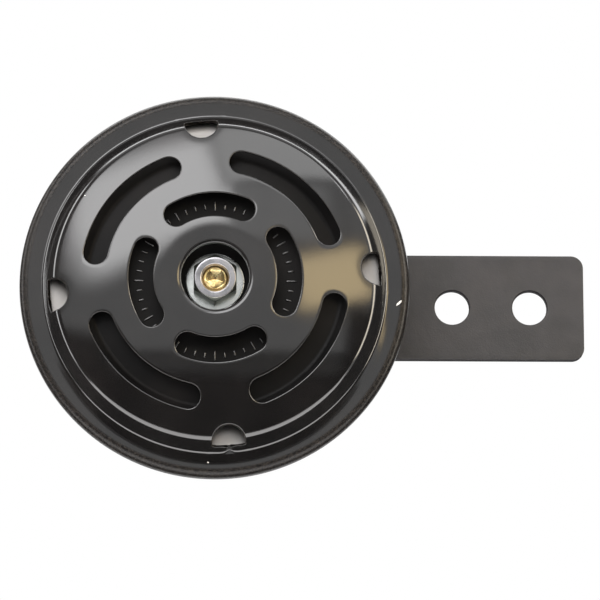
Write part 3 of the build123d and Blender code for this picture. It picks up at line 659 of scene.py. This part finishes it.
# two tones, the scales of cloud, grain, peel and film, and the lowest and highest roughness
paintBase = {
    "tones": ((0.0034, 0.003, 0.003), (0.0056, 0.005, 0.0049)), "cloud": 55.0,
    "grain": 2600.0, "grainHeight": 0.5, "peel": 420.0, "peelHeight": 0.6, "bump": 0.03, "bumpDistance": 0.0002,
    "specks": (170.0, 0.055, 0.05), "speckColor": (0.35, 0.33, 0.3),  # scale, size and share of the specks
    "film": 60.0, "filmShare": 0.06, "filmColor": (0.045, 0.036, 0.032),
    "rough": (0.085, 0.12), "ior": 1.65,
}
paints = {
    "grille_paint": {
        # the grille's edgeGloss is a painted highlight on its upward-facing cut edges
        "foldRough": 0.28, "foldBump": 0.3, "foldColor": (0.026, 0.022, 0.019), "foldIor": 1.28, "edgeGloss": 1.0,
        "chips": ((43.85, -4.4, 0.95, 0.26, 44.0), (-1.5, -43.0, 0.2, 0.18, 0.0),
                  (0.3, -44.8, 0.18, 0.16, 0.0), (-31.0, 20.6, 0.16, 0.14, 0.0)),
        "chipColor": (0.72, 0.69, 0.64)},
    "housing_paint": {"rough": (0.26, 0.34)},
    "tone_disc_paint": {"tones": ((0.002, 0.0018, 0.0018), (0.0034, 0.003, 0.003)),
                        "rough": (0.38, 0.46), "ior": 1.2},
    # the ticks get a lighter, glossier copy of the disc's black paint: a painted sheen so that their strokes catch
    # highlights
    "tick_paint": {"tones": ((0.012, 0.011, 0.011), (0.02, 0.019, 0.018)), "rough": (0.22, 0.3), "ior": 1.9},
    "bracket_paint": {
        "tones": ((0.0066, 0.0060, 0.0068), (0.0134, 0.0120, 0.0132)), "cloud": 190.0, "film": 90.0,
        "filmShare": 0.14, "ior": 1.5, "edgeGloss": 0.04, "rough": (0.5, 0.58), "grain": 2400.0, "bump": 0.3,
        "specks": (170.0, 0.055, 0.02)},
    "gasket_fibre": {"tones": ((0.03, 0.027, 0.024), (0.06, 0.052, 0.045)), "rough": (0.75, 0.9), "bump": 0.3},
    "red_fibre": {"tones": ((0.16, 0.03, 0.02), (0.22, 0.05, 0.035)), "rough": (0.5, 0.65), "bump": 0.2},
    "bobbin_nylon": {"tones": ((0.5, 0.47, 0.4), (0.6, 0.57, 0.5)), "rough": (0.35, 0.45)},
    "laminate": {"tones": ((0.13, 0.07, 0.035), (0.19, 0.11, 0.055)), "cloud": 160.0, "rough": (0.42, 0.55),
                 "bump": 0.18, "grain": 1800.0},
}
metalBase = {
    "cloud": 120.0, "grain": 3000.0, "grainHeight": 0.5, "peel": 700.0, "peelHeight": 0.4,
    "filmShare": 0.2, "filmColor": (0.25, 0.24, 0.2), "rough": (0.22, 0.34), "bump": 0.08, "bumpDistance": 0.0002,
}
metals = {
    "diaphragm_steel": {"tones": ((0.31, 0.295, 0.285), (0.36, 0.345, 0.335)), "filmShare": 0.15,
                        "rough": (0.29, 0.33), "rings": 1800.0},
    "yellow_zinc": {"tones": ((0.55, 0.34, 0.08), (0.86, 0.62, 0.2)), "filmColor": (0.3, 0.12, 0.05),
                    "filmShare": 0.35, "rough": (0.16, 0.26)},
    # the nut's finish: its chamfer tone is a near-black painted shade
    "bright_zinc": {"tones": ((0.23, 0.23, 0.24), (0.35, 0.345, 0.36)), "cloud": 260.0, "rough": (0.15, 0.24),
                    "sideColor": (0.42, 0.46, 0.41), "chamferPaintedShade": (0.05, 0.053, 0.047),
                    "threadColor": (0.40, 0.36, 0.31), "sideRough": 0.36},
    "washer_zinc": {"tones": ((0.44, 0.455, 0.45), (0.60, 0.62, 0.61)), "filmColor": (0.16, 0.17, 0.14),
                    "rough": (0.22, 0.3), "rings": 1500.0},
    "stud_zinc": {"tones": ((0.35, 0.34, 0.3), (0.5, 0.49, 0.44))},
    "stud_gold": {"tones": ((0.42, 0.30, 0.12), (0.66, 0.55, 0.28)), "filmColor": (0.24, 0.09, 0.045),
                  "filmShare": 0.5, "cloud": 420.0, "rough": (0.16, 0.26)},
    "copper_enamel": {"tones": ((0.35, 0.1, 0.03), (0.5, 0.17, 0.06)), "rough": (0.2, 0.3)},
    "plate_steel": {"tones": ((0.3, 0.3, 0.3), (0.45, 0.45, 0.44))},
    "rivet_steel": {"tones": ((0.3, 0.3, 0.31), (0.5, 0.5, 0.5))},
    "spring_bronze": {"tones": ((0.5, 0.3, 0.14), (0.66, 0.42, 0.2))},
    "brass_arm": {"tones": ((0.58, 0.42, 0.16), (0.75, 0.56, 0.25))},
    "contact_silver": {"tones": ((0.6, 0.6, 0.58), (0.8, 0.79, 0.77))},
    "terminal_brass": {"tones": ((0.34, 0.25, 0.09), (0.46, 0.35, 0.15)), "rough": (0.3, 0.42)},
    "rivet_brass": {"tones": ((0.34, 0.24, 0.09), (0.46, 0.34, 0.14))},
}


def titled(key):
    # stud_gold becomes studGold
    first, *rest = key.split("_")
    return first + "".join(word.title() for word in rest)


finishes = {key: paintedSteel(titled(key), {**paintBase, **own}) for key, own in paints.items()}
finishes.update({key: plainMetal(titled(key), {**metalBase, **own}) for key, own in metals.items()})
print("stage: finishes made,", len(finishes))

for title, obj in nodes.items():
    for place in obj.material_slots:
        key = place.material.name.split(".")[0] if place.material else ""
        if key in finishes:
            place.material = finishes[key]
        else:
            print("no finish for", title, key)

grillePiece = buildGrille(finishes["grille_paint"])
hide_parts("front_grille")


# ---------- the bracket: a flat strip with rounded edges and three holes ----------
bracket = {
    "back": -26.1, "front": -23.6, "faceInset": 0.02, "half": 13.0, "free": 90.5, "corner": 3.0, "edge": 0.22,
    "holes": ((0.0, 4.2), (58.25, 4.25), (77.25, 4.25)),  # place along the strip and radius
    "seams": (40.0, 67.75),  # where one hole's share of the strip ends
    "holeSink": 0.032, "sinkReach": 0.8, "mouthInset": 0.05,  # the punch draws the face in round a hole
}


def bracketCells():
    # the inset outline of each hole's share of the strip, anticlockwise, with each point's outward
    # direction; points on a seam have none
    b = bracket
    e, c, far, half = b["edge"], b["corner"], b["free"], b["half"]
    h = half - e
    first, second = b["seams"]

    def level(x0, x1, y, count, up):
        return pairs(np.linspace(x0, x1, count), y), np.tile([0.0, up], (count, 1))

    def seam(x, way):
        return pairs(x, np.linspace(-h, h, 15)[::way]), np.zeros((15, 2))

    def arc(cx, cy, r, a0, a1, count):
        a = np.radians(np.linspace(a0, a1, count))
        n = pairs(np.cos(a), np.sin(a))
        return np.array([cx, cy]) + n * r, n

    end = pairs(far - e, np.linspace(c - half, half - c, 13)), np.tile([1.0, 0.0], (13, 1))
    return [
        [level(0, first, -h, 21, -1), seam(first, 1), level(first, 0, h, 21, 1), arc(0, 0, h, 90, 270, 61)],
        [level(first, second, -h, 17, -1), seam(second, 1), level(second, first, h, 17, 1), seam(first, -1)],
        [level(second, far - c, -h, 13, -1), arc(far - c, c - half, c - e, -90, 0, 13), end,
         arc(far - c, half - c, c - e, 0, 90, 13), level(far - c, second, h, 13, 1), seam(second, -1)],
    ]


def buildBracket(material):
    # each cell: front face in to its hole, rounded edge, wall, rounded edge, back face out again;
    # then the rim of the whole strip as a ring of the same section
    b = bracket
    e, back, face = b["edge"], b["back"], b["front"] - b["faceInset"]
    patches = Patches()
    bends = np.linspace(0, math.pi / 2, 5)

    def addRows(rows, marks):
        grid = np.stack([np.column_stack([flat, np.broadcast_to(z, len(flat))]) for flat, z in rows])
        patches.grid(grid, mark=np.array(marks)[:, None])

    cells = bracketCells()
    for (holeX, radius), runs in zip(b["holes"], cells):
        side = np.concatenate([p[:-1] for p, way in runs])
        a = np.arctan2(side[:, 1], side[:, 0] - holeX)
        ring, centre = pairs(np.cos(a), np.sin(a)), np.array([holeX, 0.0])
        mouth = centre + ring * (radius + e)
        rows = [(side, face)]
        for t in 1 - (1 - np.linspace(0, 1, 15)[1:]) ** 1.6:
            flat = side * (1 - t) + mouth * t
            away = np.hypot(flat[:, 0] - holeX, flat[:, 1]) - radius
            rows.append((flat, face - b["holeSink"] * np.exp(-away / b["sinkReach"])))
        wall = [(centre + ring * (radius + e * (1 - math.sin(k))), e * (1 - math.cos(k))) for k in bends[1:]]
        rows += [(flat, b["front"] - b["mouthInset"] - drop) for flat, drop in wall]
        rows += [(flat, back + drop) for flat, drop in wall[::-1]]
        rows += [(side * (1 - t) + mouth * t, back) for t in np.linspace(1, 0, 7)]
        addRows(rows, [0.0] * 15 + [1.0] * 8 + [0.0] * 7)
    # the rim goes once round: along the bottom of every cell, round the end and back along the top
    low, middle, high = cells
    order = [low[0], middle[0], *high[:5], middle[2], low[2], low[3]]
    line, way = (np.concatenate([run[k][:-1] for run in order]) for k in (0, 1))
    rows = [(line + way * e * math.sin(k), face - e * (1 - math.cos(k))) for k in bends]
    rows += [(line + way * e * math.sin(k), back + e * (1 - math.cos(k))) for k in bends[::-1]]
    addRows(rows, 1 - np.linspace(-1, 1, len(rows)) ** 2)
    return patches.piece("bracketStrip", "horn_body", material, smoothAngle=40, weld=2e-6)


bracketPiece = buildBracket(finishes["bracket_paint"])
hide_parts("mounting_bracket")


# ---------- nut, washer and stud in the grille's bore ----------
hub = {
    "flats": 5.05, "nutLow": 4.4, "nutTop": 9.4,  # half the width across flats, and both faces
    "faceRadius": 4.84, "chamfer": 33.0,  # the turned face and the angle of its chamfer
    "mouth": 3.42, "mouthRound": 0.06, "threadRadius": 3.05, "coneDepth": 0.6,
    "threadPitch": 0.45, "threadHeight": 0.09, "threadDepth": 2.2, "threadRows": 60,
    "washerRadius": 7.0, "washerBore": 3.08, "washerLow": 3.2, "washerTop": 4.4, "washerRound": 0.34,
    "dish": (5.8, 1.2, 0.04),  # the washer bends back from here, over this far, this much
    "studRadius": 3.0, "studEnd": 8.2, "ring": (2.36, 2.62), "pit": 0.95, "facets": 5,
    "studPitch": 1.0, "studThread": 0.16,
    "armature": (6.9, -10.6), "flange": (10.0, -1.6),
}


def hexRadius(a):
    # radius of a hexagon with flats at +x and -x, its corners slightly rounded by a power sum
    c = np.clip(np.cos(a[..., None] - circleAngles(6)), 0, None)
    return hub["flats"] / np.sum(c ** 60, axis=-1) ** (1 / 60)


def thread(z, pitch, a):
    # 0 to 1 across each turn of a helix of that pitch
    return 1 - np.abs(2 * ((z / pitch - a / (2 * math.pi)) % 1.0) - 1)


def buildNut():
    # threaded mouth, turned face, chamfer cut by a cone, hexagon side, and the same underneath
    h = hub
    a = circleAngles(288)
    side = hexRadius(a)
    bore, mouth, face, low, top = (h[k] for k in ("threadRadius", "mouth", "faceRadius", "nutLow", "nutTop"))
    depth, bend, shoulder = h["threadDepth"], h["mouthRound"], top - 0.02
    slope = math.tan(math.radians(h["chamfer"]))
    rows = [(bore, low + 0.05), (bore, top - depth)]
    for k in np.linspace(0, 1, h["threadRows"]):
        z = top - depth + (depth - bend) * k
        widened = (mouth - bore) * np.clip((z - top + h["coneDepth"]) / h["coneDepth"], 0, 1)
        groove = h["threadHeight"] * thread(z, h["threadPitch"], a) * (1 - 0.9 * k ** 6)
        rows.append((bore + widened + groove, z))
    rows += [(mouth + bend * (1 - math.cos(k)) + 0.02, top - bend * (1 - math.sin(k)))
             for k in np.linspace(0, math.pi / 2, 4)[1:]]
    rows += [(r, top) for r in (3.9, 4.3, face - 0.07)] + [(face, shoulder)]
    chamferStart = len(rows)
    for k in np.linspace(0.12, 0.94, 6):
        r = face + (side - face) * k
        rows.append((r, shoulder - (r - face) * slope))
    sideTop, sideLow = shoulder - (side - face) * slope, low + 0.03
    rows.append((side - 0.02, sideTop))
    rows += [(side, (sideTop - 0.07) * (1 - k) + sideLow * k) for k in np.linspace(0, 1, 8)]
    rows += [(side - 0.04, low), (bore + 0.05, low)]
    mark = np.zeros((len(rows) + 1, 1))
    mark[chamferStart:len(rows) - 1] = 0.7
    mark[chamferStart:chamferStart + 6] = 1.0
    mark[2:2 + h["threadRows"]] = 0.4
    patches = Patches()
    patches.grid(stacked(rows + rows[:1], a), mark=mark)
    return patches.piece("toneDiscNut", "moving_system", finishes["bright_zinc"], smoothAngle=24)


def buildWasher():
    # flat ring with rounded edges, very slightly dished by the nut
    h = hub
    e, bore, low, top, outer = (h["washer" + k] for k in ("Round", "Bore", "Low", "Top", "Radius"))
    line = roundedLine([(bore, low, 0), (outer, low, e), (outer, top, e), (bore, top, 0.08), (bore, low, 0)], 0.2)
    start, reach, depth = h["dish"]
    grid = turned(line, circleAngles(180))
    bent = fade(np.hypot(grid[..., 0], grid[..., 1]), start, reach)
    grid[..., 2] -= depth * bent ** 2 * (grid[..., 2] > (low + top) / 2)
    patches = Patches()
    patches.grid(grid)
    return patches.piece("toneDiscWasher", "moving_system", finishes["washer_zinc"], smoothAngle=40)


def buildArmature():
    # stud end with a faceted punched pit, thread, flange and the soft-iron core, as one turned bar
    h = hub
    a = circleAngles(180)
    inner, outer = h["ring"]
    end, pit, radius = h["studEnd"], h["pit"], h["studRadius"]
    facet = np.clip(np.cos(a[:, None] - circleAngles(h["facets"]) - 0.26), 0, None)
    facet = np.sum(facet ** 24, axis=-1) ** (1 / 24)
    rows = [(0.0, end - pit)]
    for k in np.linspace(0.04, 1, 18):
        z = end - pit + pit * (0.9 * k * facet + 0.14 * k ** 4)
        rows.append((inner * k, np.minimum(z, end - 0.03 * (1 - k))))
    rows += [(inner + 0.05, end), ((inner + outer) / 2, end), (outer - 0.02, end), (outer + 0.06, end - 0.05)]
    rows += [(radius - 0.06, end - 0.38)]
    rows += [(radius - h["studThread"] * thread(z, h["studPitch"], a), z) for z in np.linspace(end - 0.46, 0.45, 90)]
    rows += [(radius - 0.05, 0.4), (radius - 0.05, 0.0)]
    fr, fz = h["flange"]
    ar, az = h["armature"]
    rows += [(fr - 0.2, 0.0), (fr - 0.06, -0.06), (fr, -0.2), (fr, fz + 0.2), (fr - 0.06, fz + 0.06), (fr - 0.2, fz)]
    rows += [(ar + 0.15, fz), (ar, fz - 0.15), (ar, az + 0.3), (ar - 0.09, az + 0.09), (ar - 0.3, az), (0.0, az)]
    patches = Patches()
    patches.grid(stacked(rows, a))
    return patches.piece("armatureBody", "moving_system", finishes["stud_gold"], smoothAngle=32)


nutPiece = buildNut()
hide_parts("tone_disc_nut")
washerPiece = buildWasher()
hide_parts("tone_disc_washer")
armaturePiece = buildArmature()
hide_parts("armature")


# ---------- plain short raised ticks on the tone disc's ring ----------
ticks = {
    "count": 48, "radius": 18.1, "lengths": (1.5, 2.6),  # every fourth tick is long
    "width": 0.34, "height": 0.62, "seat": 5.30, "square": 0.45,
}


def buildTicks():
    # each tick is a squared-off ellipsoid half sunk in the disc, longest side towards the axis
    t = ticks
    u = np.linspace(-math.pi / 2, math.pi / 2, 9)[:, None, None]
    v = circleAngles(20)[None, :, None]

    def power(x):
        return np.sign(x) * np.abs(x) ** t["square"]

    turn = circleAngles(t["count"])
    length = np.where(np.arange(t["count"]) % 4 == 0, t["lengths"][1], t["lengths"][0])
    r = t["radius"] + length / 2 * power(np.cos(u)) * power(np.cos(v))
    across = t["width"] / 2 * power(np.cos(u)) * power(np.sin(v))
    x = r * np.cos(turn) - across * np.sin(turn)
    y = r * np.sin(turn) + across * np.cos(turn)
    z = np.broadcast_to(t["seat"] + t["height"] / 2 * power(np.sin(u)), x.shape)
    every = np.stack([x, y, z], axis=-1)
    patches = Patches()
    for index in range(t["count"]):
        patches.grid(every[:, :, index])
    return patches.piece("discTicks", "moving_system", finishes["tick_paint"], smoothAngle=40)


buildTicks()


# ---------- camera ----------
view = {
    "azimuth": 1.79, "elevation": -12.07, "roll": -0.102, "distance": 995.4,
    "aim": (20.33, -3.36, 0.0),  # on the horn's own axes, millimetres
    "focal": 4174.6 / 600 * 36.0,  # on a 36 mm wide frame
}


def placeCamera():
    # a turn of roll about the line of sight, which runs from the camera's place to its aim
    az, el, roll = (math.radians(view[k]) for k in ("azimuth", "elevation", "roll"))
    back = np.array([-math.sin(az) * math.cos(el), math.sin(el), math.cos(az) * math.cos(el)])
    right = np.cross(-back, (0, 1, 0))
    right /= np.linalg.norm(right)
    up = np.cross(right, -back)
    c, n = math.cos(roll), math.sin(roll)
    right, up = c * right + n * up, c * up - n * right
    spot = toFrame(np.array(view["aim"]) + back * view["distance"])
    turn = [Vector((a[0], -a[2], a[1])) for a in (right, up, back)]
    data = bpy.data.cameras.new("camera")
    data.lens, data.sensor_width, data.sensor_fit = view["focal"], 36.0, "HORIZONTAL"
    data.clip_start, data.clip_end = 0.01, 50.0
    camera = linked("camera", data)
    camera.matrix_world = Matrix.Translation(Vector(spot)) @ Matrix(turn).transposed().to_4x4()
    bpy.context.scene.camera = camera


placeCamera()


# ---------- light: soft panels above and to the left, a warm card to the right ----------
white, pearl, ivory, cream = (1.0, 1.0, 1.0), (1.0, 0.995, 1.0), (1.0, 0.97, 0.95), (1.0, 0.95, 0.92)
lightCards = {
    # as the horn sees each card's middle: azimuth, elevation, distance; then width and height in
    # metres, roll, strength, colour, how much of the half width fades out, and which rays see it
    "keySoft": (-34.0, 30.5, 1.3, 2.1, 0.98, 17.0, 5.7, pearl, 0.26, "diffuse"),
    "overheadSoft": (0.0, 65.0, 1.3, 2.0, 1.15, 0.0, 4.6, white, 0.3, "diffuse"),
    "keyPanel": (-18.5, 31.5, 1.3, 1.44, 0.94, 25.0, 6.5, pearl, 0.55, "gloss"),
    "rightHigh": (22.0, 46.0, 1.3, 0.84, 0.48, 0.0, 3.3, white, 0.3, "gloss"),
    "rightSpot": (42.0, 37.0, 1.25, 0.18, 0.18, 0.0, 8.0, white, 0.5, "both"),
    "warmCard": (30.0, 12.5, 1.2, 0.62, 0.40, 14.0, 6.2, (1.0, 0.79, 0.47), 0.5, "both"),
    "rightFar": (66.0, 10.0, 0.9, 0.36, 1.0, 0.0, 9.5, (1.0, 0.91, 0.76), 0.2, "gloss"),
    "rightBack": (116.0, 46.0, 1.3, 0.9, 0.8, 0.0, 5.0, white, 0.3, "gloss"),
    "leftFar": (-80.0, 12.0, 1.0, 0.36, 1.7, 13.0, 6.5, white, 0.2, "gloss"),
    "frontPaper": (0.0, -61.0, 0.36, 1.3, 0.27, 0.0, 4.8, (1.0, 0.98, 0.97), 0.12, "gloss"),
    "backPanel": (180.0, 66.0, 1.4, 2.2, 0.9, 0.0, 5.0, white, 0.3, "both"),
    "backFill": (160.0, 25.0, 1.5, 1.6, 1.1, 0.0, 3.0, white, 0.4, "both"),
    "lowFlag": (0.0, -25.5, 0.34, 1.2, 0.155, 0.0, 0.10, cream, 0.35, "gloss"),
    "leftFlag": (-58.0, 12.0, 0.45, 0.29, 1.0, 0.0, 0.30, (1.0, 0.98, 0.96), 0.15, "gloss"),
    "leftLowFlag": (-47.0, -14.0, 0.42, 0.32, 0.25, -14.0, 0.12, cream, 0.25, "gloss"),
    "rightFlag": (48.0, -12.0, 0.42, 0.22, 0.30, 0.0, 0.12, cream, 0.3, "gloss"),
    "rightVeil": (17.0, 29.0, 1.36, 0.95, 0.52, 0.0, 1.6, white, 0.5, "gloss"),
    "topFlag": (5.0, 65.5, 0.45, 1.0, 0.13, 0.0, 0.42, white, 0.2, "gloss"),
    "underFlag": (180.0, -80.0, 0.32, 1.4, 0.28, 0.0, 0.12, ivory, 0.15, "gloss"),
    "leftBackFlag": (-112.0, 2.0, 0.4, 0.32, 0.9, 13.0, 0.15, ivory, 0.15, "gloss"),
    "rightBackFlag": (108.0, -10.0, 0.4, 0.36, 0.80, 0.0, 0.15, ivory, 0.15, "gloss"),
}


def glowMaterial(name, strength, tint, fade):
    # emission that falls off smoothly towards the card's sides
    m = bpy.data.materials.new(name)
    m.use_nodes = True
    tree = m.node_tree
    tree.nodes.clear()
    apart = node(tree, "ShaderNodeSeparateXYZ", {0: node(tree, "ShaderNodeTexCoord").outputs["Object"]})
    sides = [ramp(tree, mathNode(tree, "ABSOLUTE", apart.outputs[k]), 1.0, 1.0 - fade) for k in (0, 1)]
    mask = times(tree, *sides)
    power = times(tree, mask, strength)
    glow = node(tree, "ShaderNodeEmission", {"Color": (*tint, 1.0), "Strength": power})
    clear = node(tree, "ShaderNodeBsdfTransparent")
    mix = node(tree, "ShaderNodeMixShader", {0: mask, 1: clear.outputs[0], 2: glow.outputs[0]})
    node(tree, "ShaderNodeOutputMaterial", {0: mix.outputs[0]})
    return m


def placeCard(name, azimuth, elevation, distance, width, height, roll, strength, tint, fade, rays):
    # a card that faces the horn from that direction and distance
    mesh = bpy.data.meshes.new(name)
    mesh.from_pydata([(-1, -1, 0), (1, -1, 0), (1, 1, 0), (-1, 1, 0)], [], [(0, 1, 2, 3)])
    mesh.materials.append(glowMaterial(name + "Glow", strength, tint, fade))
    card = linked(name, mesh)
    az, el = math.radians(azimuth), math.radians(elevation)
    away = Vector((math.sin(az) * math.cos(el), -math.cos(az) * math.cos(el), math.sin(el)))
    turn = away.to_track_quat("Z", "Y").to_matrix().to_4x4() @ Matrix.Rotation(math.radians(roll), 4, "Z")
    place = Matrix.Translation(Vector(toFrame((0, 0, 0))) + away * distance)
    card.matrix_world = place @ turn @ Matrix.Diagonal((width / 2, height / 2, 1, 1))
    card.visible_camera = card.visible_shadow = False
    card.visible_diffuse = rays != "gloss"
    card.visible_glossy = rays != "diffuse"
    card.visible_transmission = rays == "both"


for name, values in lightCards.items():
    placeCard(name, *values)


# ---------- floor and surroundings ----------
room = {"floorZ": -0.42, "floorSize": 8.0, "floorColor": (0.86, 0.86, 0.86), "fill": 0.14}


def buildRoom():
    # a square floor of pale paper, and a world that is white to the eye but lights the horn weakly
    mesh = bpy.data.meshes.new("floor")
    h, z = room["floorSize"] / 2, room["floorZ"]
    mesh.from_pydata([(-h, -h, z), (h, -h, z), (h, h, z), (-h, h, z)], [], [(0, 1, 2, 3)])
    m, tree, shader = newMaterial("floorPaper")
    setInputs(tree, shader, {"Base Color": (*room["floorColor"], 1), "Roughness": 0.9})
    mesh.materials.append(m)
    floor = linked("floor", mesh)
    world = bpy.data.worlds.new("studio")
    bpy.context.scene.world = world
    world.use_nodes = True
    tree = world.node_tree
    tree.nodes.clear()
    path = node(tree, "ShaderNodeLightPath").outputs
    seen = mathNode(tree, "MAXIMUM", path["Is Glossy Ray"], path["Is Transmission Ray"])
    seen = mathNode(tree, "MAXIMUM", path["Is Camera Ray"], seen)
    power = plus(tree, times(tree, seen, 1.0 - room["fill"]), room["fill"])
    glow = node(tree, "ShaderNodeBackground", {"Color": (1, 1, 1, 1), "Strength": power})
    node(tree, "ShaderNodeOutputWorld", {0: glow.outputs[0]})


buildRoom()
bpy.context.scene.view_settings.view_transform = "Standard"
print("stage: camera, lights and room set")
